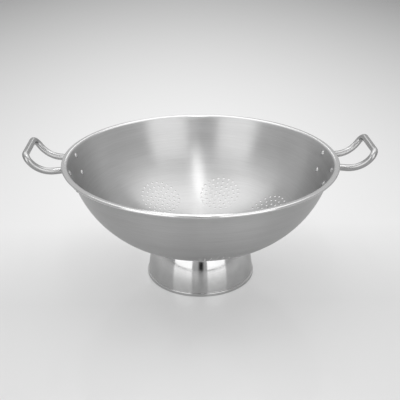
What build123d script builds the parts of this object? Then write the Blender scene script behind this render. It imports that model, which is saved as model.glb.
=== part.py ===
from build123d import *
import math
import os

# Footed two-handled colander. Millimetres, +Z up, origin on the floor under the middle of the
# foot. The handles lie along X, the front is -Y.

# Bowl, spun from one sheet
RIM_RADIUS = 208.0  # outer edge of the rolled rim
RIM_HEIGHT = 196.0  # top of the rim above the floor
SHEET = 1.0  # bowl sheet
FLOOR_HEIGHT = 60.2  # underside of the bowl's flat bottom
FLOOR_RADIUS = 40.0  # flat bottom
WALL_RADIUS = 157.9  # rounded wall, outside face, in section
WALL_LEAN = 21.5  # upper wall's lean from the vertical, in degrees
FLARE_RADIUS = 4.0  # bend from the wall out to the rim, outside face
ROLL_RADIUS = 2.25  # rolled edge, outer face
TAIL_LENGTH = 4.8  # return leg of the rolled edge

# Drain holes: a rosette in the floor and round clusters in the wall
DRAIN_HOLE = 3.6  # hole diameter
DRAIN_PITCH = 9.1  # hole to hole along a ring
DRAIN_ROW = 8.0  # ring to ring
ROSETTE_ROWS = 7  # stays inside the foot's weld flange
CLUSTER_ROWS = 4
CLUSTERS = 7
CLUSTER_CIRCLE = 119.0  # from the axis to a cluster's middle
CLUSTER_START = 72.0  # azimuth of the first cluster, in degrees
PUNCH_BELOW = 1.0  # punch travel past the outside face
PUNCH_ABOVE = 6.0  # punch travel past the inside face, over the wall's curve

# Foot ring, bent from one strip
FOOT_SHEET = 0.8
FOOT_LEAN_LOW = 4.0  # wall's lean inwards just over the bead, in degrees
FOOT_LEAN_HIGH = 18.0  # its lean just under the shoulder
FOOT_WAIST = 30.0  # height where the two leans would meet
FOOT_CURVE = 190.0  # centre-line radius of the bulge between them
BEAD_RADIUS = 84.8  # outer edge of the beaded base
BEAD_HEIGHT = 5.5
BEAD_STEP = 1.6  # from the foot wall's outside face out to the bead's edge
BEAD_BASE = 4.0  # width of the strip folded in under the bead
BEAD_BEND = 0.7  # centre-line radius of the bead's bends
SHOULDER_BEND = 11.0  # centre-line radius of the shoulder
FLANGE_RADIUS = 58.0  # inner edge of the weld flange
FLANGE_TOUCH = 60.5  # circle where the flange is welded to the bowl
WELD_SEAM = 0.05  # between flange and bowl

# Handles, bent from rod
ROD = 10.0  # rod diameter
GRIP_REACH = 47.5  # rim's edge to the middle of the grip
GRIP_HALF = 40.0  # middle of the grip to its corner
GRIP_RISE = 27.0  # leg's level part to the middle of the grip
LEG_SLOPE = 52.0  # rising part of the leg, from the horizontal, in degrees
LEG_SPLAY = 15.5  # leg's plan angle from the X axis, in degrees
LEG_STRAIGHT = 1.0  # straight rod left between the leg's bend and the grip's corner
CORNER_BEND = 11.0  # centre-line radius of the grip's corners
LEG_CLEARANCE = 0.3  # rolled edge to the top of the rod

# Rivet pads, the flattened ends of the rod
PAD = 3.5  # pad thickness
PAD_SEAM = 0.05  # pad to bowl
PAD_DROP = 1.0  # rolled edge to the pad's top
PAD_ROOT_RADIUS = 7.0  # pad's corner round the rod
PAD_UPPER_RADIUS = 8.0  # pad's corner round the upper rivet
PAD_LOWER_RADIUS = 9.0  # pad's corner round the lower rivet

# Rivets
RIVET_SHANK = 5.0  # shank diameter
RIVET_FIT = 0.05  # shank to hole, radial
RIVET_SEAT = 0.1  # under each head
RIVET_HEAD = 8.4  # inner head diameter
RIVET_DOME = 2.0  # inner head height
RIVET_TAIL = 9.0  # outer head diameter
RIVET_TAIL_DOME = 2.2  # outer head height
UPPER_RIVET_DROP = 11.0  # rim's top to the upper rivet
UPPER_RIVET_SIDE = 36.0  # upper rivet's distance from the X axis
LOWER_RIVET_DROP = 36.0
LOWER_RIVET_SIDE = 28.0

# Places that follow from the sizes above
LEAN_SIN = math.sin(math.radians(WALL_LEAN))
LEAN_COS = math.cos(math.radians(WALL_LEAN))
WALL_CENTRE = FLOOR_HEIGHT + WALL_RADIUS
CONE_FOOT_RADIUS = FLOOR_RADIUS + WALL_RADIUS * LEAN_COS
CONE_FOOT_HEIGHT = WALL_CENTRE - WALL_RADIUS * LEAN_SIN
FLARE_FOOT_HEIGHT = RIM_HEIGHT - SHEET - FLARE_RADIUS * (1 - LEAN_SIN)
CONE_LENGTH = (FLARE_FOOT_HEIGHT - CONE_FOOT_HEIGHT) / LEAN_COS
ROLL_UNDERSIDE = RIM_HEIGHT - 2 * ROLL_RADIUS
LEG_HEIGHT = ROLL_UNDERSIDE - LEG_CLEARANCE - ROD / 2
GRIP_X = RIM_RADIUS + GRIP_REACH
PAD_TOP = ROLL_UNDERSIDE - PAD_DROP


def wall_face(depth):
    """Section of the bowl's wall, depth inwards from its outside face, axis to flare."""
    floor = Line((0, FLOOR_HEIGHT + depth), (FLOOR_RADIUS, FLOOR_HEIGHT + depth))
    bend = JernArc(floor @ 1, (1, 0), WALL_RADIUS - depth, 90 - WALL_LEAN)
    cone = PolarLine(bend @ 1, CONE_LENGTH, 90 - WALL_LEAN)
    flare = JernArc(cone @ 1, cone % 1, FLARE_RADIUS + depth, WALL_LEAN - 90)
    return [floor, bend, cone, flare]


def bowl_face(depth):
    """Section of one face of the whole bowl, axis to the tip of the rolled edge."""
    wall = wall_face(depth)
    level = RIM_HEIGHT - SHEET + depth
    top = Line(wall[-1] @ 1, (RIM_RADIUS - ROLL_RADIUS, level))
    roll = JernArc(top @ 1, (1, 0), ROLL_RADIUS - SHEET + depth, -180)
    tail = PolarLine(roll @ 1, TAIL_LENGTH, 180)
    return wall + [top, roll, tail]


def turned(outside, inside):
    """Solid turned from the region between two open section curves."""
    ends = [
        Line(outside[0] @ 0, inside[0] @ 0),
        Line(outside[-1] @ 1, inside[-1] @ 1),
    ]
    return revolve(Plane.XZ * make_face(outside + inside + ends), Axis.Z)


def wall_at(height):
    """Radius of the outside face and its lean from the vertical at a height."""
    if height > CONE_FOOT_HEIGHT:
        rise = height - CONE_FOOT_HEIGHT
        return CONE_FOOT_RADIUS + rise * LEAN_SIN / LEAN_COS, math.radians(WALL_LEAN)
    lean = math.asin((WALL_CENTRE - height) / WALL_RADIUS)
    return FLOOR_RADIUS + WALL_RADIUS * math.cos(lean), lean


def rivet_plane(side, drop):
    """Plane on the outside face at a rivet of the right handle, facing out of the bowl."""
    height = RIM_HEIGHT - drop
    radius, lean = wall_at(height)
    azimuth = math.asin(side / radius)
    outwards = Vector(
        math.cos(lean) * math.cos(azimuth),
        math.cos(lean) * math.sin(azimuth),
        -math.sin(lean),
    )
    return Plane(
        origin=(radius * math.cos(azimuth), side, height),
        x_dir=(-math.sin(azimuth), math.cos(azimuth), 0),
        z_dir=outwards,
    )


def punched(rows):
    """Round punches in rings about the origin, one in the middle."""
    centres = [(0, 0)]
    for row in range(1, rows + 1):
        radius = row * DRAIN_ROW
        count = round(2 * math.pi * radius / DRAIN_PITCH)
        for hole in range(count):
            turn = 2 * math.pi * hole / count
            centres.append((radius * math.sin(turn), radius * math.cos(turn)))
    length = PUNCH_BELOW + SHEET + PUNCH_ABOVE
    lift = length / 2 - PUNCH_BELOW
    return [Pos(x, y, lift) * Cylinder(DRAIN_HOLE / 2, length) for x, y in centres]


def drain_punches():
    """Every drain hole's punch: the floor's rosette and the wall's clusters."""
    punches = [Pos(0, 0, FLOOR_HEIGHT) * punch for punch in punched(ROSETTE_ROWS)]
    climb = math.asin((CLUSTER_CIRCLE - FLOOR_RADIUS) / WALL_RADIUS)
    height = WALL_CENTRE - WALL_RADIUS * math.cos(climb)
    seat = Plane(
        origin=(CLUSTER_CIRCLE, 0, height),
        x_dir=(0, -1, 0),
        z_dir=(-math.sin(climb), 0, math.cos(climb)),
    )
    for cluster in range(CLUSTERS):
        turn = Rot(0, 0, CLUSTER_START + cluster * 360 / CLUSTERS)
        punches += [turn * seat.location * punch for punch in punched(CLUSTER_ROWS)]
    return punches


def strip_face(points, radii, shift):
    """Parallel of a bent strip's centre line, shifted to its left."""
    corners = []
    bends = []
    spans = [(end - start).normalized() for start, end in zip(points, points[1:])]
    lefts = [Vector(-span.Y, span.X) for span in spans]
    for index, point in enumerate(points):
        before = lefts[max(index - 1, 0)]
        after = lefts[min(index, len(lefts) - 1)]
        corners.append(point + (before + after) * (shift / (1 + before.dot(after))))
    for index, radius in enumerate(radii):
        left_turn = spans[index].cross(spans[index + 1]).Z > 0
        bends.append(radius - shift if left_turn else radius + shift)
    return [FilletPolyline(*corners, radius=bends)]


def foot_ring():
    """Bulging ring with a round shoulder, a weld flange under the bowl and a folded bead."""
    half = FOOT_SHEET / 2
    low = math.radians(FOOT_LEAN_LOW)
    high = math.radians(FOOT_LEAN_HIGH)
    shelf = BEAD_HEIGHT - half
    wall_foot = Vector(BEAD_RADIUS - BEAD_STEP - half / math.cos(low), shelf)
    waist = Vector(wall_foot.X - (FOOT_WAIST - shelf) * math.tan(low), FOOT_WAIST)
    climb = math.asin((FLANGE_TOUCH - FLOOR_RADIUS) / WALL_RADIUS)
    seat = WALL_RADIUS + WELD_SEAM + half
    along = Vector(math.cos(climb), math.sin(climb))
    touch = Vector(FLOOR_RADIUS + seat * math.sin(climb), WALL_CENTRE - seat * math.cos(climb))
    tip = touch + along * ((FLANGE_RADIUS - touch.X) / along.X)
    rising = Vector(-math.sin(high), math.cos(high))
    shoulder = waist + rising * ((waist - touch).cross(along).Z / along.cross(rising).Z)
    points = [
        tip,
        shoulder,
        waist,
        wall_foot,
        Vector(BEAD_RADIUS - half, shelf),
        Vector(BEAD_RADIUS - half, half),
        Vector(BEAD_RADIUS - BEAD_BASE, half),
    ]
    radii = [SHOULDER_BEND, FOOT_CURVE, BEAD_BEND, BEAD_BEND, BEAD_BEND]
    return turned(strip_face(points, radii, half), strip_face(points, radii, -half))


def handle_rod():
    """Rod of the right handle, its ends cut to the bowl's outside face."""
    slope = math.radians(LEG_SLOPE)
    splay = math.radians(LEG_SPLAY)
    rising = GRIP_RISE / math.sin(slope)
    turn = math.acos(-math.cos(slope) * math.sin(splay))
    corner = CORNER_BEND * math.tan(turn / 2)
    bend_radius = (rising - corner - LEG_STRAIGHT) / math.tan(slope / 2)
    outwards = Vector(math.cos(splay), math.sin(splay))
    grip_corner = Vector(GRIP_X, GRIP_HALF, LEG_HEIGHT + GRIP_RISE)
    bend = Vector(GRIP_X, GRIP_HALF, LEG_HEIGHT) - outwards * (GRIP_RISE / math.tan(slope))
    root = bend - outwards * ((bend.X - wall_at(LEG_HEIGHT)[0] + ROD) / outwards.X)
    half = [root, bend, grip_corner]
    path = FilletPolyline(
        *half,
        *[Vector(point.X, -point.Y, point.Z) for point in reversed(half)],
        radius=[bend_radius, CORNER_BEND, CORNER_BEND, bend_radius],
    )
    rod = sweep((path ^ 0) * Circle(ROD / 2), path=path)
    seam = wall_face(-PAD_SEAM)
    axis_top = Vector(0, RIM_HEIGHT - SHEET - PAD_SEAM)
    core = make_face(seam + [Line(seam[-1] @ 1, axis_top), Line(axis_top, seam[0] @ 0)])
    return rod - revolve(Plane.XZ * core, Axis.Z)


def rivet_pads():
    """Flattened rod ends of the right handle, lying on the bowl's outside face."""
    splay = math.tan(math.radians(LEG_SPLAY))
    root_side = GRIP_HALF - (GRIP_X - wall_at(LEG_HEIGHT)[0]) * splay
    corners = [
        Pos(root_side, PAD_TOP - PAD_ROOT_RADIUS) * Circle(PAD_ROOT_RADIUS),
        Pos(UPPER_RIVET_SIDE, PAD_TOP - PAD_UPPER_RADIUS) * Circle(PAD_UPPER_RADIUS),
        Pos(LOWER_RIVET_SIDE, RIM_HEIGHT - LOWER_RIVET_DROP) * Circle(PAD_LOWER_RADIUS),
    ]
    outline = make_hull([edge for corner in corners for edge in corner.edges()])
    shell = turned(wall_face(-PAD_SEAM - PAD), wall_face(-PAD_SEAM))
    pad = shell & extrude(Plane.YZ * outline, RIM_RADIUS)
    return [pad, mirror(pad, about=Plane.XZ)]


def rivet():
    """Rivet along Z with its zero at the bowl's outside face and its tail head outside."""
    inner = -SHEET - RIVET_SEAT
    outer = PAD_SEAM + PAD + RIVET_SEAT
    shank = RIVET_SHANK / 2
    dome = TangentArc((0, inner - RIVET_DOME), (RIVET_HEAD / 2, inner), tangent=(1, 0))
    tail_dome = TangentArc((0, outer + RIVET_TAIL_DOME), (RIVET_TAIL / 2, outer), tangent=(1, 0))
    sides = [
        Line(dome @ 1, (shank, inner)),
        Line((shank, inner), (shank, outer)),
        Line((shank, outer), tail_dome @ 1),
        Line(tail_dome @ 0, dome @ 0),
    ]
    return revolve(Plane.XZ * make_face([dome, tail_dome] + sides), Axis.Z)


# Rivet places of the right handle's back end; the others are its mirror images
RIVETS = {
    "upper": rivet_plane(UPPER_RIVET_SIDE, UPPER_RIVET_DROP),
    "lower": rivet_plane(LOWER_RIVET_SIDE, LOWER_RIVET_DROP),
}
bore = Cylinder(RIVET_SHANK / 2 + RIVET_FIT, 2 * (SHEET + PAD + PAD_SEAM))
back_bores = [place.location * bore for place in RIVETS.values()]
right_bores = back_bores + [mirror(shape, about=Plane.XZ) for shape in back_bores]
bores = right_bores + [mirror(shape, about=Plane.YZ) for shape in right_bores]

pieces = {}
pieces["bowl"] = turned(bowl_face(0), bowl_face(SHEET)) - (drain_punches() + bores)
pieces["foot_ring"] = foot_ring()
pieces["right_handle"] = handle_rod() + rivet_pads() - right_bores
pieces["left_handle"] = mirror(pieces["right_handle"], about=Plane.YZ)
for level, place in RIVETS.items():
    back = place.location * rivet()
    front = mirror(back, about=Plane.XZ)
    pieces[f"right_back_{level}_rivet"] = back
    pieces[f"right_front_{level}_rivet"] = front
    pieces[f"left_back_{level}_rivet"] = mirror(back, about=Plane.YZ)
    pieces[f"left_front_{level}_rivet"] = mirror(front, about=Plane.YZ)

os.makedirs("parts", exist_ok=True)
for name, shape in pieces.items():
    export_step(shape, f"parts/{name}.step")
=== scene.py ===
import math

import bpy
import numpy as np
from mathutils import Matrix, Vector
from mathutils.geometry import delaunay_2d_cdt


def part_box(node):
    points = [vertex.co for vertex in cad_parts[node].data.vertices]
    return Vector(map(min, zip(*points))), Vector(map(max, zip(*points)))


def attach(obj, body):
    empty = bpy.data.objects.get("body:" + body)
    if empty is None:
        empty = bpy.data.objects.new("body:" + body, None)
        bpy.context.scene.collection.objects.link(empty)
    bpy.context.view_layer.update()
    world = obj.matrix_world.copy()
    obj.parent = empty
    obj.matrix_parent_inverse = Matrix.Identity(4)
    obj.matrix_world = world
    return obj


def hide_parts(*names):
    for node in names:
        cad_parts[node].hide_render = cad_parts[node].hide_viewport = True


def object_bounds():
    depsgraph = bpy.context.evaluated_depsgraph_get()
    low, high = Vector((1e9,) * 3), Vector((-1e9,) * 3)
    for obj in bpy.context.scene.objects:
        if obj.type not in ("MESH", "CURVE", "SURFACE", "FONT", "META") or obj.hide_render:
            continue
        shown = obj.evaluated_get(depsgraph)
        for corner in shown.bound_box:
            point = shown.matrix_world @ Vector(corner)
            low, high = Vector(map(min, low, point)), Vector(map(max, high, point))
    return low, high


bl_info = {
    "name": "Footed Colander",
    "version": (1, 0, 0),
    "blender": (4, 5, 0),
    "location": "View3D > Sidebar > Colander",
    "description": "Dresses the solids of a footed colander in smooth sheet, bent rod and satin steel",
    "category": "Object",
}

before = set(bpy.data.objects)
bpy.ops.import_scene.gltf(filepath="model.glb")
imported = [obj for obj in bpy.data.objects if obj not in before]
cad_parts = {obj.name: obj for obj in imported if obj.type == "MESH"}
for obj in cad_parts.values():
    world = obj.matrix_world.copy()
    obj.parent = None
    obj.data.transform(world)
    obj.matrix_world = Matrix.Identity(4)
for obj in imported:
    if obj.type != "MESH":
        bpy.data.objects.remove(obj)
SOLID_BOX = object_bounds()

# Lengths are in metres. The bowl and the foot are turned about Z, with the handles along X.
RIM_RADIUS = SOLID_BOX[1].y
BOWL_LOW, BOWL_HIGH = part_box("bowl")


# ---------------------------------------------------------------- bowl sheet, worked out


class Sheet:
    """Section of the bowl's sheet: flat floor, round wall, leaning cone, flare and rolled rim.

    A point of the sheet has a flat radius, which is its distance from the middle along the
    outside face, an azimuth, and a depth inwards from the outside face.
    """

    thick = 0.001
    floor_height = BOWL_LOW.z
    floor_radius = 0.040
    wall_radius = 0.1579
    lean = math.radians(21.5)
    flare_radius = 0.004
    roll_radius = 0.00225
    tail = 0.0048
    rim_height = BOWL_HIGH.z
    rim_radius = RIM_RADIUS

    centre_height = floor_height + wall_radius
    sweep = math.pi / 2 - lean
    cone_foot = floor_radius + wall_radius * sweep
    cone_foot_height = centre_height - wall_radius * math.sin(lean)
    cone_top_height = rim_height - thick - flare_radius * (1 - math.sin(lean))
    cone_length = (cone_top_height - cone_foot_height) / math.cos(lean)
    edge = cone_foot + cone_length

    @classmethod
    def section(cls, flat, depth):
        """Radius and height: along the floor, then round the wall's centre, then up the cone."""
        turn = np.clip((flat - cls.floor_radius) / cls.wall_radius, 0, cls.sweep)
        rest = np.maximum(flat - cls.cone_foot, 0)
        reach = cls.wall_radius - depth
        radius = np.minimum(flat, cls.floor_radius) + reach * np.sin(turn)
        radius = radius + rest * math.sin(cls.lean)
        height = cls.centre_height - reach * np.cos(turn) + rest * math.cos(cls.lean)
        return radius, height

    @classmethod
    def point(cls, flat, azimuth, depth):
        """Place in space of flat radius, azimuth and depth."""
        radius, height = cls.section(flat, depth)
        return np.stack([radius * np.cos(azimuth), radius * np.sin(azimuth), height], -1)

    @classmethod
    def face_radius(cls, height, outwards):
        """Radius of the face offset outwards at a height: circle below, straight cone above."""
        reach = cls.wall_radius + outwards
        drop = cls.centre_height - height
        circle = cls.floor_radius + np.sqrt(np.maximum(reach**2 - drop**2, 0))
        foot = cls.centre_height - reach * math.sin(cls.lean)
        cone = cls.floor_radius + reach * math.cos(cls.lean) + (height - foot) * math.tan(cls.lean)
        return np.where(height > foot, cone, circle)

    @classmethod
    def flat_of(cls, points):
        """Flat radius and azimuth of points on the outside face."""
        radius = np.hypot(points[:, 0], points[:, 1])
        turn = np.arctan2(radius - cls.floor_radius, cls.centre_height - points[:, 2])
        round_part = cls.floor_radius + cls.wall_radius * turn
        flat = np.where(radius < cls.floor_radius, radius, round_part)
        above = points[:, 2] > cls.cone_foot_height
        rise = (points[:, 2] - cls.cone_foot_height) / math.cos(cls.lean)
        return np.where(above, cls.cone_foot + rise, flat), np.arctan2(points[:, 1], points[:, 0])

    @classmethod
    def gap_to_face(cls, points, depth):
        """Signed distance to the face at a depth, less than zero on its inner side."""
        radius = np.hypot(points[:, 0], points[:, 1])
        reach = cls.wall_radius - depth
        over = np.maximum(radius - cls.floor_radius, 0)
        drop = cls.centre_height - points[:, 2]
        round_gap = np.hypot(over, drop) - reach
        along_cone = over * math.sin(cls.lean) - drop * math.cos(cls.lean)
        cone_gap = over * math.cos(cls.lean) + drop * math.sin(cls.lean) - reach
        return np.where(along_cone > 0, cone_gap, round_gap)


def arc(centre, radius, start, stop, steps):
    """Points on a circle: centre plus radius times cosine and sine, from start to stop degrees."""
    turn = np.radians(np.linspace(start, stop, steps + 1))
    return np.stack([centre[0] + radius * np.cos(turn), centre[1] + radius * np.sin(turn)], -1)


def rim_profile():
    """Closed way round the flare and the rolled edge, from the outside face to the inside face.

    Flare, top and roll are concentric arcs at the two depths, joined by a half round tip.
    """
    s = Sheet
    lean = math.degrees(s.lean)
    bend_centre = (
        s.face_radius(s.cone_top_height, 0) + s.flare_radius * math.cos(s.lean),
        s.rim_height - s.thick - s.flare_radius,
    )
    roll_centre = (s.rim_radius - s.roll_radius, s.rim_height - s.roll_radius)
    tip = (roll_centre[0] - s.tail, s.rim_height - 2 * s.roll_radius + s.thick / 2)
    return np.concatenate(
        [
            arc(bend_centre, s.flare_radius, 180 - lean, 90, steps=10),
            arc(roll_centre, s.roll_radius - s.thick, 90, -90, steps=12),
            arc(tip, s.thick / 2, 90, 270, steps=6),
            arc(roll_centre, s.roll_radius, -90, 90, steps=20),
            arc(bend_centre, s.flare_radius + s.thick, 90, 180 - lean, steps=12),
        ]
    )


class Punch:
    """Sizes and layout of the drain holes, and how the edge of every hole is sampled.

    No other point of the flat map lies within the margin round a hole.
    """

    drain = 0.0018
    pitch = 0.0091
    row = 0.008
    rosette_rows = 7
    cluster_rows = 4
    cluster_circle = 0.119
    sides = 16
    margin = 0.0012

    @classmethod
    def rings(cls, rows):
        """Hole centres on a plane: one, then rings of evenly spaced holes."""
        centres = [np.zeros((1, 2))]
        for row in range(1, rows + 1):
            radius = row * cls.row
            count = round(2 * math.pi * radius / cls.pitch)
            turn = 2 * np.pi * np.arange(count) / count
            centres.append(radius * np.stack([np.sin(turn), np.cos(turn)], -1))
        return np.concatenate(centres)

    @classmethod
    def circles(cls, seat, across, up, into, centres, radius):
        """Circles about centres on the plane of seat, each as a ring of points."""
        turn = 2 * np.pi * np.arange(cls.sides) / cls.sides
        ring = radius * np.stack([np.cos(turn), np.sin(turn)], -1)
        flat = (centres[:, None, :] + ring[None, :, :]).reshape(-1, 2)
        return seat + flat[:, :1] * across + flat[:, 1:] * up, np.broadcast_to(into, (len(flat), 3))


def unit(vectors):
    """Vectors along the last axis, each scaled to length one."""
    return vectors / np.linalg.norm(vectors, axis=-1, keepdims=True)


def cross_directions(out):
    """Level direction and rising direction square to a direction."""
    across = unit(np.cross((0, 0, 1), out))
    return across, np.cross(out, across)


def all_punches(clusters, first):
    """Start points and directions of every hole's ring: rosette, clusters and rivets."""
    s = Sheet
    starts, ways = [], []

    def add(seat, across, up, into, centres, radius):
        points, way = Punch.circles(
            *[np.array(part, float) for part in (seat, across, up, into)], centres, radius
        )
        starts.append(points)
        ways.append(way)

    rosette = Punch.rings(Punch.rosette_rows)
    add((0, 0, s.floor_height), (1, 0, 0), (0, 1, 0), (0, 0, 1), rosette, Punch.drain)
    climb = math.asin((Punch.cluster_circle - s.floor_radius) / s.wall_radius)
    height = s.centre_height - s.wall_radius * math.cos(climb)
    for number in range(clusters):
        turn = math.radians(first + number * 360 / clusters)
        out = np.array([math.cos(turn), math.sin(turn), 0])
        across = np.array([math.sin(turn), -math.cos(turn), 0])
        into = -math.sin(climb) * out + np.array([0, 0, math.cos(climb)])
        up = math.cos(climb) * out + np.array([0, 0, math.sin(climb)])
        seat = out * Punch.cluster_circle + np.array([0, 0, height])
        add(seat, across, up, into, Punch.rings(Punch.cluster_rows), Punch.drain)
    for seat, out in rivet_seats().values():
        across, up = cross_directions(out)
        add(seat, across, up, -out, np.zeros((1, 2)), Rivet.hole)
    return np.concatenate(starts), np.concatenate(ways)


def onto_face(points, ways, depth):
    """Points slid along their ways onto the face at a depth, by Newton steps on the gap.

    The gap's slope is measured over a small step. Where it is nearly level, minus one stands in.
    """
    slide = np.zeros(len(points))
    step, level, rounds = 1e-6, 0.1, 8
    for _ in range(rounds):
        here = Sheet.gap_to_face(points + slide[:, None] * ways, depth)
        there = Sheet.gap_to_face(points + (slide + step)[:, None] * ways, depth)
        slope = (there - here) / step
        slide = slide - here / np.where(np.abs(slope) < level, -1, slope)
    return points + slide[:, None] * ways


def flat_grid(rim_steps):
    """Flat map of the sheet: rings of points about the middle, the last at the top of the cone.

    Out to even_edge the points are about as far apart as the rings, and every second ring is
    turned by half a step. Each ring further out has the rim's own steps.
    """
    ring_gap, point_gap = 0.0043, 0.0046
    even_edge = 0.150
    inner = np.arange(0.0045, 0.160, ring_gap)
    outer = np.linspace(0.164, Sheet.edge, 20)
    rings = [np.zeros((1, 2))]
    for number, flat in enumerate(np.concatenate([inner, outer])):
        count, shift = rim_steps, 0.0
        if flat < even_edge:
            count = min(rim_steps, max(6, round(2 * math.pi * flat / point_gap)))
            shift = 0.5 * (number % 2)
        turn = 2 * np.pi * (np.arange(count) + shift) / count
        rings.append(flat * np.stack([np.cos(turn), np.sin(turn)], -1))
    return rings


def ring_pairs(count):
    """Index of each point on the edges of a number of holes, and of the next point round."""
    here = np.arange(count * Punch.sides).reshape(count, Punch.sides)
    return here.reshape(-1), np.roll(here, -1, axis=1).reshape(-1)


def flat_triangles(holes, rim_steps):
    """Flat map of the sheet round every hole: its points outside the holes, and its triangles.

    The triangles number the rim's points first, then the other points, then the holes' edges.
    """
    sides = Punch.sides
    middles = holes.reshape(-1, sides, 2).mean(1)
    reaches = np.linalg.norm(holes.reshape(-1, sides, 2) - middles[:, None], axis=2).max(1)
    rings = flat_grid(rim_steps)
    field = np.concatenate(rings[:-1])
    apart = np.linalg.norm(field[:, None] - middles[None], axis=2)
    field = field[(apart > reaches[None] + Punch.margin).all(1)]
    open_spots = np.concatenate([rings[-1], field])
    spots = np.concatenate([open_spots, holes])
    first_hole = len(open_spots)

    here, ahead = ring_pairs(len(holes) // sides)
    border = np.arange(rim_steps)
    edges = np.stack([here, ahead], -1) + first_hole
    edges = np.concatenate([edges, np.stack([border, np.roll(border, -1)], -1)])
    whole_hull, touching = 0, 1e-7
    _, _, faces, origins, _, _ = delaunay_2d_cdt(
        [Vector(spot) for spot in spots.tolist()], edges.tolist(), [], whole_hull, touching, True
    )
    source = np.array([origin[0] for origin in origins])
    if len(source) != len(spots):
        raise RuntimeError("the flat map of the bowl gained or lost points")
    triangles = source[np.array(faces)]
    hole_of = (triangles - first_hole) // sides
    in_hole = (triangles >= first_hole).all(1) & (hole_of == hole_of[:, :1]).all(1)
    triangles = triangles[~in_hole]

    corner = spots[triangles]
    span_a, span_b = corner[:, 1] - corner[:, 0], corner[:, 2] - corner[:, 0]
    area = span_a[:, 0] * span_b[:, 1] - span_a[:, 1] * span_b[:, 0]
    least_area = 1e-12
    sliver = np.abs(area) <= least_area
    triangles, flip = triangles[~sliver], area[~sliver] < 0
    triangles[flip] = triangles[flip][:, ::-1]
    return open_spots, triangles


def bowl_mesh(clusters, first, rim_steps=288):
    """Vertices and faces of the whole sheet.

    The flat map is triangulated once round every hole, and laid on both faces of the sheet.
    Hole walls join the two, and the rim's profile is turned about Z between the two edges.
    """
    s = Sheet
    starts, ways = all_punches(clusters, first)
    outside = onto_face(starts, ways, 0)
    inside = onto_face(starts, ways, s.thick)
    flat, azimuth = s.flat_of(outside)
    holes = np.stack([flat * np.cos(azimuth), flat * np.sin(azimuth)], -1)
    open_spots, triangles = flat_triangles(holes, rim_steps)

    flat = np.hypot(open_spots[:, 0], open_spots[:, 1])
    azimuth = np.arctan2(open_spots[:, 1], open_spots[:, 0])
    lower = np.concatenate([s.point(flat, azimuth, 0), outside])
    upper = np.concatenate([s.point(flat, azimuth, s.thick), inside])
    size = len(lower)
    here, ahead = (index + len(open_spots) for index in ring_pairs(len(holes) // Punch.sides))
    walls = np.stack([here, ahead, ahead + size, here + size], -1)

    profile = rim_profile()[1:-1]
    band, _ = turned_grid(profile, rim_steps, closed=False)
    border = np.arange(rim_steps)
    band_rows = 2 * size + np.arange(len(band)).reshape(-1, rim_steps)
    rows = np.concatenate([border[None], band_rows, border[None] + size])
    beside = np.roll(rows, -1, axis=1)
    strips = np.stack([rows[:-1], beside[:-1], beside[1:], rows[1:]], -1).reshape(-1, 4)
    vertices = np.concatenate([lower, upper, band])
    return vertices, [triangles[:, ::-1], triangles + size, walls[:, ::-1], strips]


# ---------------------------------------------------------------- turned and bent shapes


def turned_grid(profile, steps, closed):
    """Profile of radius and height turned about Z. A closed profile's last row meets its first."""
    turn = 2 * np.pi * np.arange(steps) / steps
    grid = np.stack(
        [
            profile[:, None, 0] * np.cos(turn),
            profile[:, None, 0] * np.sin(turn),
            np.broadcast_to(profile[:, None, 1], (len(profile), steps)),
        ],
        -1,
    )
    return grid.reshape(-1, 3), grid_faces(len(profile), steps, closed)


def grid_faces(rows, columns, closed):
    """Quads of a grid whose columns wrap round, and whose rows wrap round if it is closed."""
    index = np.arange(rows * columns).reshape(rows, columns)
    ahead = np.roll(index, -1, axis=1)
    if closed:
        below, below_ahead = np.roll(index, -1, axis=0), np.roll(ahead, -1, axis=0)
        return np.stack([index, ahead, below_ahead, below], -1).reshape(-1, 4)
    return np.stack([index[:-1], ahead[:-1], ahead[1:], index[1:]], -1).reshape(-1, 4)


def cap_fans(rings, sides, pole):
    """Triangles that close a grid's first ring with the vertex pole, and its last with the next."""
    ring = np.arange(sides)
    ahead = np.roll(ring, -1)
    last = (rings - 1) * sides
    first_fan = np.stack([ahead, ring, np.full(sides, pole)], -1)
    last_fan = np.stack([ring + last, ahead + last, np.full(sides, pole + 1)], -1)
    return np.concatenate([first_fan, last_fan])


def length_along(path):
    """Distance run along a path up to each of its points."""
    return np.concatenate([[0], np.cumsum(np.linalg.norm(np.diff(path, axis=0), axis=1))])


def straight_run(start, end, spacing):
    """Evenly spaced points on a line, without its start."""
    count = max(1, round(np.linalg.norm(end - start) / spacing))
    return start + (end - start) * np.linspace(0, 1, count + 1)[1:, None]


def rounded_line(corners, radii, spacing, turn_steps):
    """Straight runs between corners, each corner replaced by a tangent arc of its radius.

    The arc starts radius times tan(half the turn) before the corner, and is sampled by
    turning the first run's direction towards the second.
    """
    corners = [np.array(corner, float) for corner in corners]
    points = [corners[0][None]]
    start = corners[0]
    for index, radius in enumerate(radii, 1):
        before = unit(corners[index] - corners[index - 1])
        after = unit(corners[index + 1] - corners[index])
        angle = math.acos(np.clip(before @ after, -1, 1))
        setback = radius * math.tan(angle / 2)
        begin, end = corners[index] - before * setback, corners[index] + after * setback
        points.append(straight_run(start, begin, spacing))
        inward = unit(after - before * (before @ after))
        steps = np.linspace(0, angle, turn_steps + 1)[1:, None]
        points.append(begin + radius * (np.sin(steps) * before + (1 - np.cos(steps)) * inward))
        start = end
    points.append(straight_run(start, corners[-1], spacing))
    return np.concatenate(points)


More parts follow.
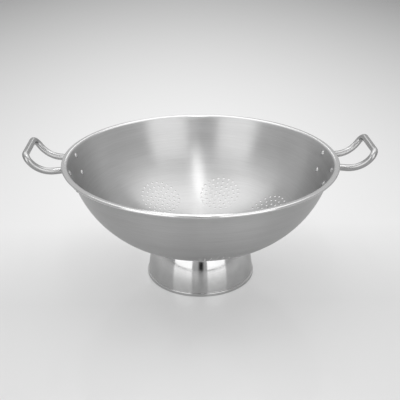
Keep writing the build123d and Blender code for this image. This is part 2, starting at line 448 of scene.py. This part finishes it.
class Foot:
    """Section of the foot ring's strip: weld flange, shoulder, bulging wall and folded bead."""

    thick = 0.0008
    lean_low = math.radians(4)
    lean_high = math.radians(18)
    waist = 0.030
    curve = 0.190
    bead_radius = 0.0848
    bead_height = 0.0055
    bead_step = 0.0016
    bead_base = 0.004
    bead_bend = 0.0007
    shoulder = 0.011
    flange_radius = 0.058
    flange_touch = 0.0605
    seam = 0.00005

    @classmethod
    def centre_line(cls):
        """Corners and bend radii of the strip's centre line, from the flange to the base.

        The shoulder's corner is where the upper wall's line meets the line along the flange.
        """
        half = cls.thick / 2
        shelf = cls.bead_height - half
        foot_radius = cls.bead_radius - cls.bead_step - half / math.cos(cls.lean_low)
        wall_foot = np.array([foot_radius, shelf])
        waist = wall_foot + (cls.waist - shelf) * np.array([-math.tan(cls.lean_low), 1])
        climb = math.asin((cls.flange_touch - Sheet.floor_radius) / Sheet.wall_radius)
        seat = Sheet.wall_radius + cls.seam + half
        along = np.array([math.cos(climb), math.sin(climb)])
        touch = np.array(
            [Sheet.floor_radius + seat * along[1], Sheet.centre_height - seat * along[0]]
        )
        tip = touch + along * (cls.flange_radius - touch[0]) / along[0]
        rising = np.array([-math.sin(cls.lean_high), math.cos(cls.lean_high)])
        apart = waist - touch
        run = apart[0] * along[1] - apart[1] * along[0]
        run = run / (along[0] * rising[1] - along[1] * rising[0])
        corners = [
            tip,
            waist + rising * run,
            waist,
            wall_foot,
            (cls.bead_radius - half, shelf),
            (cls.bead_radius - half, half),
            (cls.bead_radius - cls.bead_base, half),
        ]
        return corners, [cls.shoulder, cls.curve, cls.bead_bend, cls.bead_bend, cls.bead_bend]

    @classmethod
    def profile(cls):
        """Closed way round the strip: both sides of its centre line, with half round ends."""
        corners, radii = cls.centre_line()
        line = rounded_line(corners, radii, spacing=0.002, turn_steps=10)
        along = unit(np.gradient(line, axis=0))
        side = np.stack([-along[:, 1], along[:, 0]], -1) * cls.thick / 2
        end_steps = 6
        turn = np.radians(np.linspace(0, 180, end_steps + 1))[1:-1, None]
        head = line[0] - np.sin(turn) * along[0] * cls.thick / 2 - np.cos(turn) * side[0]
        tail = line[-1] + np.sin(turn) * along[-1] * cls.thick / 2 + np.cos(turn) * side[-1]
        return np.concatenate([line + side, tail, (line - side)[::-1], head])


class Handle:
    """Path of the right handle's rod and the outline of its rivet pads."""

    rod = 0.005
    reach = 0.0475
    grip_half = 0.040
    rise = 0.027
    slope = math.radians(52)
    splay = math.radians(15.5)
    straight = 0.001
    corner = 0.011
    clearance = 0.0003
    pad = 0.0035
    seam = 0.00005
    pad_round = 0.0011
    pad_drop = 0.001
    root_round = 0.007
    upper_round = 0.008
    lower_round = 0.009
    underside = Sheet.rim_height - 2 * Sheet.roll_radius
    leg_height = underside - clearance - rod
    grip_x = RIM_RADIUS + reach
    wall = float(Sheet.face_radius(leg_height, 0))

    @classmethod
    def path(cls):
        """Level root, bend, rising leg, corner and grip of one half, and its mirror image."""
        rising = cls.rise / math.sin(cls.slope)
        turn = math.acos(-math.cos(cls.slope) * math.sin(cls.splay))
        bend_radius = rising - cls.corner * math.tan(turn / 2) - cls.straight
        bend_radius = bend_radius / math.tan(cls.slope / 2)
        out = np.array([math.cos(cls.splay), math.sin(cls.splay), 0])
        grip = np.array([cls.grip_x, cls.grip_half, cls.leg_height + cls.rise])
        bend = grip - [0, 0, cls.rise] - out * cls.rise / math.tan(cls.slope)
        root = bend - out * (bend[0] - cls.wall - cls.pad / 2) / out[0]
        half = [root, bend, grip]
        other = [point * [1, -1, 1] for point in half[::-1]]
        radii = [bend_radius, cls.corner, cls.corner, bend_radius]
        return rounded_line(half + other, radii, spacing=0.003, turn_steps=20)

    @classmethod
    def outline(cls, count=160):
        """Hull of three circles in Y and Z, and its outward directions.

        The circles are about the rod's root and the two rivets. The hull's point in a direction
        is the furthest circle centre plus its radius, and the long sides between circles are
        filled by even spacing along the outline.
        """
        root_side = cls.grip_half - (cls.grip_x - cls.wall) * math.tan(cls.splay)
        top = cls.underside - cls.pad_drop
        upper, lower = Rivet.places["upper"], Rivet.places["lower"]
        centres = [(root_side, top - cls.root_round), (upper[0], top - cls.upper_round), lower]
        centres = np.array(centres)
        radii = np.array([cls.root_round, cls.upper_round, cls.lower_round])
        directions = 720
        turn = np.linspace(0, 2 * np.pi, directions + 1)
        way = np.stack([np.cos(turn), np.sin(turn)], -1)
        best = (way @ centres.T + radii).argmax(1)
        hull = centres[best] + radii[best][:, None] * way
        length = length_along(hull)
        even = np.linspace(0, length[-1], count + 1)[:-1]
        place = np.stack([np.interp(even, length, hull[:, axis]) for axis in (0, 1)], -1)
        outward = np.stack([np.interp(even, length, way[:, axis]) for axis in (0, 1)], -1)
        return place, unit(outward)


class Rivet:
    """Rivet sizes and the places of the upper and lower rivet in Y and Z."""

    shank = 0.0025
    hole = 0.00255
    seat = 0.0001
    head = 0.0042
    dome = 0.002
    tail = 0.0045
    tail_dome = 0.0022
    places = {
        "upper": (0.036, Sheet.rim_height - 0.011),
        "lower": (0.028, Sheet.rim_height - 0.036),
    }

    @classmethod
    def profile(cls):
        """Way from one pole to the other: inner dome, shank, outer dome, as radius and height."""

        def cap(base, radius, dome, sign, steps=8):
            ball = (radius**2 + dome**2) / (2 * dome)
            turn = np.linspace(0, math.asin(radius / ball), steps + 1)
            rise = dome - ball + ball * np.cos(turn)
            return np.stack([ball * np.sin(turn), base + sign * rise], -1)

        inner = -Sheet.thick - cls.seat
        outer = Handle.seam + Handle.pad + cls.seat
        lower = cap(inner, cls.head, cls.dome, -1)
        upper = cap(outer, cls.tail, cls.tail_dome, 1)[::-1]
        shank = np.array([(cls.shank, inner), (cls.shank, outer)])
        return np.concatenate([lower, shank, upper])


def rivet_seats():
    """Seat on the outside face and outward direction of each of the eight rivets."""
    seats = {}
    for level, (side, height) in Rivet.places.items():
        radius = float(Sheet.face_radius(height, 0))
        lean = math.asin(min((Sheet.centre_height - height) / Sheet.wall_radius, 1))
        lean = max(lean, Sheet.lean)
        azimuth = math.asin(side / radius)
        flat = np.array([math.cos(azimuth), math.sin(azimuth)])
        seat = np.array([radius * flat[0], side, height])
        out = np.array([math.cos(lean) * flat[0], math.cos(lean) * flat[1], -math.sin(lean)])
        for hand, x in (("right", 1), ("left", -1)):
            for end, y in (("back", 1), ("front", -1)):
                turn = np.array([x, y, 1])
                seats[f"{hand}_{end}_{level}_rivet"] = (seat * turn, out * turn)
    return seats


# ---------------------------------------------------------------- meshes and objects


def make_piece(name, vertices, face_sets, sharp, finish, body, node, uvs=None):
    """Object at the origin from arrays of vertices and faces, shaded smooth up to an angle."""
    counts = np.concatenate([np.full(len(faces), faces.shape[1]) for faces in face_sets])
    corners = np.concatenate([faces.reshape(-1) for faces in face_sets])
    mesh = bpy.data.meshes.new(name)
    mesh.vertices.add(len(vertices))
    mesh.vertices.foreach_set("co", np.asarray(vertices, np.float32).reshape(-1))
    mesh.loops.add(len(corners))
    mesh.loops.foreach_set("vertex_index", corners.astype(np.int32))
    mesh.polygons.add(len(counts))
    starts = np.concatenate([[0], np.cumsum(counts)[:-1]])
    mesh.polygons.foreach_set("loop_start", starts.astype(np.int32))
    mesh.update(calc_edges=True)
    if mesh.validate():
        raise RuntimeError(f"{name} has faces that Blender had to mend")
    if uvs is not None:
        layer = mesh.uv_layers.new(name="along")
        layer.data.foreach_set("uv", np.asarray(uvs, np.float32)[corners].reshape(-1))
    mesh.shade_smooth()
    mesh.set_sharp_from_angle(angle=math.radians(sharp))
    mesh.materials.append(finish)
    piece = bpy.data.objects.new(name, mesh)
    bpy.context.scene.collection.objects.link(piece)
    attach(piece, body)
    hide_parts(node)
    return piece


def pad_grid(mirror):
    """Rivet pad: rings of its outline from the back's middle, round the edge, to the front's.

    Near the edge a ring is the outline drawn in by its inset along its own normals. Further
    in, it is scaled towards the middle. Y and Z give the wall's radius at the ring's depth.
    """
    place, outward = Handle.outline()
    middle = place.mean(0)
    r, round_steps = Handle.pad_round, 5
    turn = np.radians(np.linspace(90, 0, round_steps + 1))
    inset = np.concatenate([r * (1 - np.cos(turn)), r * (1 - np.cos(turn[::-1]))])
    depth = np.concatenate([r * (1 - np.sin(turn)), Handle.pad - r * (1 - np.sin(turn[::-1]))])
    shrink = np.array([0.25, 0.5, 0.75])
    rings = []
    for scale in shrink:
        rings.append((middle + (place - r * outward - middle) * scale, 0.0))
    for ring_inset, ring_depth in zip(inset, depth):
        rings.append((place - ring_inset * outward, ring_depth))
    for scale in shrink[::-1]:
        rings.append((middle + (place - r * outward - middle) * scale, Handle.pad))
    spots = np.concatenate([ring for ring, _ in rings] + [[middle, middle]])
    out = np.concatenate([np.full(len(place), d) for _, d in rings] + [[0.0, Handle.pad]])
    radius = Sheet.face_radius(spots[:, 1], out + Handle.seam)
    x = np.sqrt(radius**2 - spots[:, 0] ** 2)
    vertices = np.stack([x, spots[:, 0] * (-1 if mirror else 1), spots[:, 1]], -1)
    faces = grid_faces(len(rings), len(place), closed=False)
    fans = cap_fans(len(rings), len(place), len(vertices) - 2)
    if mirror:
        return vertices, faces[:, ::-1], fans[:, ::-1]
    return vertices, faces, fans


def rod_grid(sides=40):
    """Rod: circles square to the path, each in the plane of two cross directions.

    The first direction is the path's tangent crossed with the normal of the grip's plane. The
    UV map runs along the rod and both ways round it, in metres.
    """
    path = Handle.path()
    along = unit(np.gradient(path, axis=0))
    normal = np.array([-math.sin(Handle.slope), 0, math.cos(Handle.slope)])
    side = unit(np.cross(along, normal))
    up = np.cross(side, along)
    turn = 2 * np.pi * np.arange(sides) / sides
    rings = path[:, None] + Handle.rod * (
        np.cos(turn)[None, :, None] * side[:, None] + np.sin(turn)[None, :, None] * up[:, None]
    )
    run = length_along(path)
    uvs = np.stack(np.broadcast_arrays(run[:, None], np.abs(turn - np.pi)[None] * Handle.rod), -1)
    vertices = np.concatenate([rings.reshape(-1, 3), path[:1], path[-1:]])
    uvs = np.concatenate([uvs.reshape(-1, 2), [[0, 0], [run[-1], 0]]])
    faces = grid_faces(len(path), sides, closed=False)
    return vertices, faces, cap_fans(len(path), sides, len(vertices) - 2), uvs


# ---------------------------------------------------------------- shader maths


class Wire:
    """A shader socket that can stand in a sum. Each operator adds one Math node."""

    def __init__(self, finish, socket):
        self.finish = finish
        self.socket = socket

    def __add__(self, other):
        return self.finish.sum("ADD", self, other)

    def __mul__(self, other):
        return self.finish.sum("MULTIPLY", self, other)

    def __sub__(self, other):
        return self.finish.sum("SUBTRACT", self, other)

    def __rsub__(self, other):
        return self.finish.sum("SUBTRACT", other, self)

    def __truediv__(self, other):
        return self.finish.sum("DIVIDE", self, other)

    def __pow__(self, other):
        return self.finish.sum("POWER", self, other)


class Finish:
    """One material and its nodes."""

    def __init__(self, name):
        self.material = bpy.data.materials.new(name)
        self.material.use_nodes = True
        self.tree = self.material.node_tree
        self.tree.nodes.clear()

    @classmethod
    def of_world(cls, scene):
        """The same for the surroundings."""
        world = bpy.data.worlds.new("studio")
        world.use_nodes = True
        scene.world = world
        studio = cls.__new__(cls)
        studio.tree = world.node_tree
        studio.tree.nodes.clear()
        return studio

    def node(self, kind, settings=None, **inputs):
        """New node: its settings first, then a value or a link for each socket.

        A socket goes by its name with low lines for spaces, or by a low line and its number.
        """
        node = self.tree.nodes.new(kind)
        for key, value in (settings or {}).items():
            setattr(node, key, value)
        for key, value in inputs.items():
            slot = node.inputs[int(key[1:]) if key[0] == "_" else key.replace("_", " ")]
            if isinstance(value, Wire):
                self.tree.links.new(value.socket, slot)
            else:
                slot.default_value = value
        return node

    def out(self, node, name=0):
        """An output of a node."""
        return Wire(self, node.outputs[name])

    def sum(self, operation, *values):
        """Outcome of a Math node."""
        inputs = {f"_{place}": value for place, value in enumerate(values)}
        return self.out(self.node("ShaderNodeMath", {"operation": operation}, **inputs))

    def spread(self, value, low, high, to_low, to_high):
        """Value carried from one range to another, held at its ends."""
        node = self.node(
            "ShaderNodeMapRange",
            {"clamp": True},
            Value=value,
            From_Min=low,
            From_Max=high,
            To_Min=to_low,
            To_Max=to_high,
        )
        return self.out(node)

    def place(self):
        """Object coordinates as three numbers."""
        coordinates = self.node("ShaderNodeTexCoord")
        split = self.node("ShaderNodeSeparateXYZ", None, Vector=self.out(coordinates, "Object"))
        return self.out(split, "X"), self.out(split, "Y"), self.out(split, "Z")

    def vector(self, x, y, z):
        """Three numbers as one vector."""
        return self.out(self.node("ShaderNodeCombineXYZ", None, X=x, Y=y, Z=z))

    def noise(self, vector, w, scale, detail, rough):
        """Noise in four dimensions, from nought to one."""
        node = self.node(
            "ShaderNodeTexNoise",
            {"noise_dimensions": "4D"},
            Vector=vector,
            W=w,
            Scale=scale,
            Detail=detail,
            Roughness=rough,
        )
        return self.out(node)

    def mix(self, factor, first, second):
        """Colour between two colours."""
        node = self.node("ShaderNodeMix", {"data_type": "RGBA"}, _0=factor, _6=first, _7=second)
        return self.out(node, 2)

    def metal(self, colour, roughness, height, depth, anisotropy):
        """Metal surface whose bumps come from a height, to the output."""
        bump = self.node("ShaderNodeBump", None, Strength=1.0, Distance=depth, Height=height)
        surface = self.node(
            "ShaderNodeBsdfPrincipled",
            None,
            Base_Color=colour,
            Roughness=roughness,
            Metallic=1.0,
            Normal=self.out(bump),
            Anisotropic=anisotropy,
            Anisotropic_Rotation=0.25,
        )
        self.node("ShaderNodeOutputMaterial", None, Surface=self.out(surface))
        return self.material


class Axis:
    """Place about Z: height, radius, and azimuth as a point on a circle, so it has no seam.

    Within the smallest radius that point moves in to the middle, so nothing is divided by zero.
    """

    smallest = 0.004

    def __init__(self, finish):
        x, y, self.z = finish.place()
        self.finish = finish
        self.radius = (x * x + y * y) ** 0.5
        safe = finish.sum("MAXIMUM", self.radius, self.smallest)
        self.across, self.along = x / safe, y / safe

    def rings(self, coarse, fine, detail, rough):
        """Noise drawn out round the axis: coarse along a ring, fine from ring to ring."""
        spot = self.finish.vector(self.across * coarse, self.along * coarse, self.radius * fine)
        return self.finish.noise(spot, w=self.z * fine, scale=1.0, detail=detail, rough=rough)


def grey(level, warm=0.0):
    """Colour of a grey, a little warmer or colder."""
    return (level * (1 + warm), level, level * (1 - warm), 1)


def satin_sheet(tone, roughness, anisotropy, rim_tone):
    """Bowl: fine rings of brushing, longer soft bands, faint cloudy marks, a brighter rim."""
    f = Finish("satin_sheet")
    axis = Axis(f)
    fine = axis.rings(coarse=1.2, fine=420, detail=3.0, rough=0.7)
    short = axis.rings(coarse=7, fine=900, detail=2.0, rough=0.6)
    band = axis.rings(coarse=0.5, fine=60, detail=2.0, rough=0.5)
    cloud = f.noise(f.vector(*f.place()), w=3.0, scale=9.0, detail=3.0, rough=0.55)
    streak = fine * 0.5 + short * 0.5
    colour = f.mix(
        f.spread(streak * 0.6 + band * 0.25 + cloud * 0.15, 0.36, 0.64, 0, 1),
        grey(tone * 0.9, 0.002),
        grey(tone * 1.08, -0.002),
    )
    wear = band * 0.4 + streak * 0.4 + cloud * 0.2
    rough = f.spread(wear, 0.35, 0.65, roughness - 0.05, roughness + 0.06)
    inner, inner_fade = Sheet.rim_radius - 0.006, 0.003
    lower, lower_fade = Sheet.rim_height - 0.003, 0.0015
    polish = 0.45
    edge = f.spread(axis.radius, inner - inner_fade, inner, 0, 1)
    edge = edge * f.spread(axis.z, lower - lower_fade, lower, 0, 1)
    colour = f.mix(edge, colour, grey(rim_tone))
    rough = rough * (1 - edge * polish)
    return f.metal(colour, rough, fine * 0.6 + short * 0.4, depth=0.00004, anisotropy=anisotropy)


def mirror_strip(tone, roughness):
    """Foot: polished, with faint polishing rings, a few fine scratches and water marks."""
    f = Finish("mirror_strip")
    axis = Axis(f)
    ring = axis.rings(coarse=2, fine=500, detail=2.0, rough=0.6)
    mark = f.noise(f.vector(*f.place()), w=1.0, scale=55.0, detail=4.0, rough=0.6)
    level = f.vector(axis.across * 60, axis.along * 60, axis.z * 700)
    scratch = f.noise(level, w=0.0, scale=1.0, detail=1.0, rough=0.5)
    colour = f.mix(f.spread(mark, 0.4, 0.65, 0, 1), grey(tone * 0.94), grey(tone * 1.03))
    rough = f.spread(mark * 0.6 + ring * 0.4, 0.4, 0.62, roughness, roughness + 0.07)
    return f.metal(colour, rough, ring * 0.7 + scratch * 0.3, depth=0.00001, anisotropy=0.0)


def drawn_rod(tone, roughness):
    """Handles: polished rod, with fine lines drawn along it and soft marks of wear."""
    f = Finish("drawn_rod")
    uv = f.node("ShaderNodeUVMap", {"uv_map": "along"})
    split = f.node("ShaderNodeSeparateXYZ", None, Vector=f.out(uv))
    run, girth = f.out(split, "X"), f.out(split, "Y")
    drawn = f.vector(run * 25, girth * 1500, 0.0)
    line = f.noise(drawn, w=0.0, scale=1.0, detail=2.0, rough=0.6)
    wear = f.noise(f.vector(*f.place()), w=2.0, scale=70.0, detail=3.0, rough=0.6)
    worn = f.spread(line * 0.5 + wear * 0.5, 0.38, 0.62, 0, 1)
    colour = f.mix(worn, grey(tone * 0.9), grey(tone * 1.05))
    rough = f.spread(wear * 0.6 + line * 0.4, 0.36, 0.64, roughness - 0.03, roughness + 0.08)
    return f.metal(colour, rough, line * 0.6 + wear * 0.4, depth=0.00002, anisotropy=0.0)


def rivet_steel(tone, roughness):
    """Rivets: bright heads with small dents, whose gloss and tone vary a little."""
    f = Finish("rivet_steel")
    dent = f.noise(f.vector(*f.place()), w=0.0, scale=260.0, detail=3.0, rough=0.5)
    colour = f.mix(f.spread(dent, 0.38, 0.62, 0, 1), grey(tone * 0.88), grey(tone * 1.04))
    rough = f.spread(dent, 0.38, 0.62, roughness - 0.02, roughness + 0.07)
    return f.metal(colour, rough, dent, depth=0.00005, anisotropy=0.0)


def lit_floor(tone, gloss, glow):
    """Floor of the stage: a little glossy, its colour falling off away from the object as painted
    light falloff.

    The camera sees a pale backdrop glow added to it, painted dimmer towards the front and away from
    the object, and mirrors see some of that. The rest is lit by the lamps, so it keeps the object's
    shadow and its reflection.
    """
    f = Finish("floor_board")
    x, y, _ = f.place()
    wide, deep, near, far = 0.90, 5.8, 0.1, 1.7
    # Painted light falloff: this mask darkens the floor's colour and its backdrop glow away from the
    # object.
    away = f.spread(((x * x) / wide + (y * y) / deep) ** 0.5, near, far, 0, 1)
    grain = f.noise(f.vector(x, y, 0.0), w=0.0, scale=14.0, detail=3.0, rough=0.55)
    rays = f.node("ShaderNodeLightPath")
    mirrored = 0.35
    seen = f.out(rays, "Is Glossy Ray") * mirrored
    seen = f.sum("MAXIMUM", f.out(rays, "Is Camera Ray"), seen)
    seen = f.sum("MAXIMUM", seen, f.out(rays, "Is Transmission Ray"))
    # Painted light: the backdrop glow is dimmer in front of the object than behind it.
    front, back, front_share = -0.10, 0.16, 0.60
    pale = seen * glow * f.spread(y, front, back, front_share, 1.0)
    surface = f.node(
        "ShaderNodeBsdfPrincipled",
        None,
        # Painted shade: the floor's colour darkens to about a third of its tone away from the object.
        Base_Color=f.mix(away, grey(tone), grey(tone * 0.36)),
        Roughness=f.spread(grain, 0.3, 0.7, gloss, gloss + 0.03),
        # Painted glow: the pale backdrop emission, fading away from the object and dimmer towards the
        # front.
        Emission_Color=f.mix(pale, grey(0.0), f.mix(away, grey(0.92), grey(0.03))),
        Emission_Strength=1.0,
    )
    f.node("ShaderNodeOutputMaterial", None, Surface=f.out(surface))
    return f.material


# ---------------------------------------------------------------- settings


def share(name, description, default):
    """Number setting that is shown as a slider."""
    return bpy.props.FloatProperty(
        name=name, description=description, default=default, subtype="FACTOR"
    )


class ColanderSettings(bpy.types.PropertyGroup):
    """What a user would change on the colander."""

    clusters: bpy.props.IntProperty(
        name="Hole clusters",
        description="Round clusters of drain holes in the wall",
        default=7,
        min=1,
    )
    first_cluster: bpy.props.FloatProperty(
        name="First cluster", description="Azimuth of the first cluster in degrees", default=72.0
    )
    bowl_tone: share("Bowl tone", "Reflectance of the satin sheet", 0.57)
    bowl_roughness: share("Bowl roughness", "Roughness of the satin sheet", 0.33)
    bowl_brushing: share("Bowl brushing", "How far brushing stretches the gloss", 0.85)
    rim_tone: share("Rim tone", "Reflectance of the polished rim", 0.76)
    foot_tone: share("Foot tone", "Reflectance of the foot ring", 0.64)
    foot_roughness: share("Foot roughness", "Roughness of the foot ring", 0.07)
    rod_tone: share("Handle tone", "Reflectance of the handles", 0.50)
    rod_roughness: share("Handle roughness", "Roughness of the handles", 0.22)
    rivet_tone: share("Rivet tone", "Reflectance of the rivets", 0.62)


class StageSettings(bpy.types.PropertyGroup):
    """Camera, lamps and floor."""

    lens: bpy.props.FloatProperty(
        name="Lens", description="Focal length in millimetres on a 36 mm sensor", default=63.70
    )
    eye: bpy.props.FloatVectorProperty(
        name="Camera place",
        description="Where the camera stands",
        default=(-0.0305, -0.9996, 0.5811),
        subtype="TRANSLATION",
        unit="LENGTH",
    )
    aim: bpy.props.FloatVectorProperty(
        name="Camera aim",
        description="What the camera looks at",
        default=(-0.00082, 0.00002, 0.12304),
        subtype="TRANSLATION",
        unit="LENGTH",
    )
    floor_tone: share("Floor tone", "Reflectance of the floor", 0.54)
    # Strength of the floor's painted backdrop glow, which dims towards the front and away from the
    # object.
    floor_glow: share(
        "Backdrop share", "How much of the floor shows as a plain pale backdrop", 0.45
    )
    front_light: bpy.props.FloatProperty(
        name="Front light", description="Brightness of the two front softboxes", default=1.08
    )
    top_light: bpy.props.FloatProperty(
        name="Top light", description="Brightness of the softbox above", default=1.0
    )
    strip_light: bpy.props.FloatProperty(
        name="Strip light", description="Brightness of the narrow lamp over the camera", default=4.8
    )
    back_light: bpy.props.FloatProperty(
        name="Back light", description="Brightness of the lamp behind that lights the rim", default=1.0
    )


# ---------------------------------------------------------------- operators


class COLANDER_OT_bowl(bpy.types.Operator):
    """Make the bowl's sheet with its drain holes and rolled rim"""

    bl_idname = "colander.bowl"
    bl_label = "Bowl"

    def execute(self, context):
        s = context.scene.colander
        finish = satin_sheet(s.bowl_tone, s.bowl_roughness, s.bowl_brushing, s.rim_tone)
        vertices, faces = bowl_mesh(s.clusters, s.first_cluster)
        sharp = 40
        make_piece("bowl_sheet", vertices, faces, sharp, finish, "root", "bowl")
        return {"FINISHED"}


class COLANDER_OT_foot(bpy.types.Operator):
    """Make the foot ring from its bent strip"""

    bl_idname = "colander.foot"
    bl_label = "Foot Ring"

    def execute(self, context):
        s = context.scene.colander
        finish = mirror_strip(s.foot_tone, s.foot_roughness)
        vertices, faces = turned_grid(Foot.profile(), steps=256, closed=True)
        sharp = 60
        make_piece("foot_strip", vertices, [faces], sharp, finish, "root", "foot_ring")
        return {"FINISHED"}


class COLANDER_OT_handles(bpy.types.Operator):
    """Make both rod handles with their rivet pads"""

    bl_idname = "colander.handles"
    bl_label = "Handles"

    def execute(self, context):
        s = context.scene.colander
        finish = drawn_rod(s.rod_tone, s.rod_roughness)
        rod, quads, caps, uvs = rod_grid()
        vertices, parts, spreads = [rod], [quads, caps], [uvs]
        for mirrored in (False, True):
            shift = sum(len(block) for block in vertices)
            pad, pad_quads, pad_fans = pad_grid(mirrored)
            vertices.append(pad)
            spreads.append(pad[:, 1:])
            parts += [pad_quads + shift, pad_fans + shift]
        points, spread = np.concatenate(vertices), np.concatenate(spreads)
        sharp = 50
        for hand, side in (("right", 1), ("left", -1)):
            turned = [part[:, ::side] for part in parts]
            name, node = f"{hand}_rod", f"{hand}_handle"
            placed = points * [side, 1, 1]
            make_piece(name, placed, turned, sharp, finish, "root", node, spread)
        return {"FINISHED"}


class COLANDER_OT_rivets(bpy.types.Operator):
    """Make the eight domed rivets"""

    bl_idname = "colander.rivets"
    bl_label = "Rivets"

    def execute(self, context):
        s = context.scene.colander
        roughness, sides, sharp = 0.16, 40, 40
        finish = rivet_steel(s.rivet_tone, roughness)
        profile = Rivet.profile()
        grid, quads = turned_grid(profile[1:-1], sides, closed=False)
        faces = [quads, cap_fans(len(profile) - 2, sides, len(grid))]
        local = np.concatenate([grid, [[0, 0, profile[0, 1]], [0, 0, profile[-1, 1]]]])
        for node, (seat, out) in rivet_seats().items():
            across, up = cross_directions(out)
            points = seat + local[:, :1] * across + local[:, 1:2] * up + local[:, 2:] * out
            name = node.replace("rivet", "stud")
            make_piece(name, points, faces, sharp, finish, "root", node)
        return {"FINISHED"}


class COLANDER_OT_stage(bpy.types.Operator):
    """Set up the floor, the lamps, the surroundings and the camera"""

    bl_idname = "colander.stage"
    bl_label = "Stage"

    def execute(self, context):
        scene = context.scene
        s = scene.colander_stage
        self.floor(scene, s)
        self.lamps(scene, s)
        self.surroundings(scene)
        self.camera(scene, s)
        scene.view_settings.view_transform = "Standard"
        return {"FINISHED"}

    def floor(self, scene, s):
        """Square floor of twice the span a side."""
        span, gloss = 6.0, 0.12
        mesh = bpy.data.meshes.new("floor")
        corners = [(-span, -span, 0), (span, -span, 0), (span, span, 0), (-span, span, 0)]
        mesh.from_pydata(corners, [], [(0, 1, 2, 3)])
        mesh.materials.append(lit_floor(s.floor_tone, gloss, s.floor_glow))
        floor = bpy.data.objects.new("floor", mesh)
        scene.collection.objects.link(floor)

    def lamps(self, scene, s):
        """Softboxes in front and above, a narrow lamp over the camera and one for the rim."""
        for name, place, aim, width, height, radiance in (
            ("softbox_left", (-1.00, -1.20, 0.82), (0, 0, 0.82), 1.15, 1.6, s.front_light),
            ("softbox_right", (0.87, -1.33, 0.82), (0, 0, 0.82), 1.20, 1.6, s.front_light),
            ("softbox_top", (0.0, 0.5, 2.2), (0, 0, 0.1), 3.6, 1.8, s.top_light),
            ("strip", (0.045, -0.62, 1.85), (0, 0, 0.15), 0.10, 1.6, s.strip_light),
            ("back_strip", (0.0, 1.45, 1.25), (0, 0, 0.2), 0.35, 1.0, s.back_light),
        ):
            lamp = bpy.data.lights.new(name, "AREA")
            lamp.shape = "RECTANGLE"
            lamp.size, lamp.size_y = width, height
            lamp.energy = radiance * math.pi * width * height
            self.stand(scene, bpy.data.objects.new(name, lamp), place, aim)

    def camera(self, scene, s):
        """Camera of the photo's view."""
        lens = bpy.data.cameras.new("camera")
        lens.lens, lens.sensor_width = s.lens, 36.0
        lens.clip_start = 0.01
        camera = bpy.data.objects.new("camera", lens)
        self.stand(scene, camera, s.eye, s.aim)
        scene.camera = camera

    def stand(self, scene, thing, place, aim):
        """Put a lamp or camera in a place, looking at an aim."""
        thing.location = place
        thing.rotation_euler = (Vector(aim) - Vector(place)).to_track_quat("-Z", "Y").to_euler()
        scene.collection.objects.link(thing)

    def surroundings(self, scene):
        """World: pale all round, paler overhead, with a dark gap behind the camera.

        The gap is narrow in X, lies far towards the front, and fades upwards.
        """
        f = Finish.of_world(scene)
        coordinates = f.node("ShaderNodeTexCoord")
        split = f.node("ShaderNodeSeparateXYZ", None, Vector=f.out(coordinates, "Generated"))
        x, y, z = (f.out(split, axis) for axis in "XYZ")
        height = f.spread(z, 0.0, 0.5, 0.62, 0.78)
        aside = f.sum("ABSOLUTE", x + 0.01)
        gap = f.spread(aside, 0.05, 0.13, 1, 0) * f.spread(y, -0.5, -0.7, 0, 1)
        gap = gap * f.spread(z, 0.12, 0.40, 0.95, 0.2)
        light = f.node("ShaderNodeBackground", None, Strength=height * (1 - gap))
        f.node("ShaderNodeOutputWorld", None, Surface=f.out(light))


class COLANDER_PT_panel(bpy.types.Panel):
    """Lists the colander's pieces and settings"""

    bl_idname = "COLANDER_PT_panel"
    bl_label = "Colander"
    bl_space_type = "VIEW_3D"
    bl_region_type = "UI"
    bl_category = "Colander"

    def draw(self, context):
        layout = self.layout
        for settings in (context.scene.colander, context.scene.colander_stage):
            box = layout.box()
            for name in settings.__annotations__:
                box.prop(settings, name)
        for operator in OPERATORS:
            layout.operator(operator.bl_idname)


OPERATORS = (
    COLANDER_OT_stage,
    COLANDER_OT_bowl,
    COLANDER_OT_foot,
    COLANDER_OT_handles,
    COLANDER_OT_rivets,
)
CLASSES = (ColanderSettings, StageSettings, *OPERATORS, COLANDER_PT_panel)


def register():
    for item in CLASSES:
        bpy.utils.register_class(item)
    bpy.types.Scene.colander = bpy.props.PointerProperty(type=ColanderSettings)
    bpy.types.Scene.colander_stage = bpy.props.PointerProperty(type=StageSettings)


def unregister():
    del bpy.types.Scene.colander_stage
    del bpy.types.Scene.colander
    for item in reversed(CLASSES):
        bpy.utils.unregister_class(item)


def main():
    register()
    for step in ("stage", "bowl", "foot", "handles", "rivets"):
        getattr(bpy.ops.colander, step)()


if __name__ == "__main__":
    main()
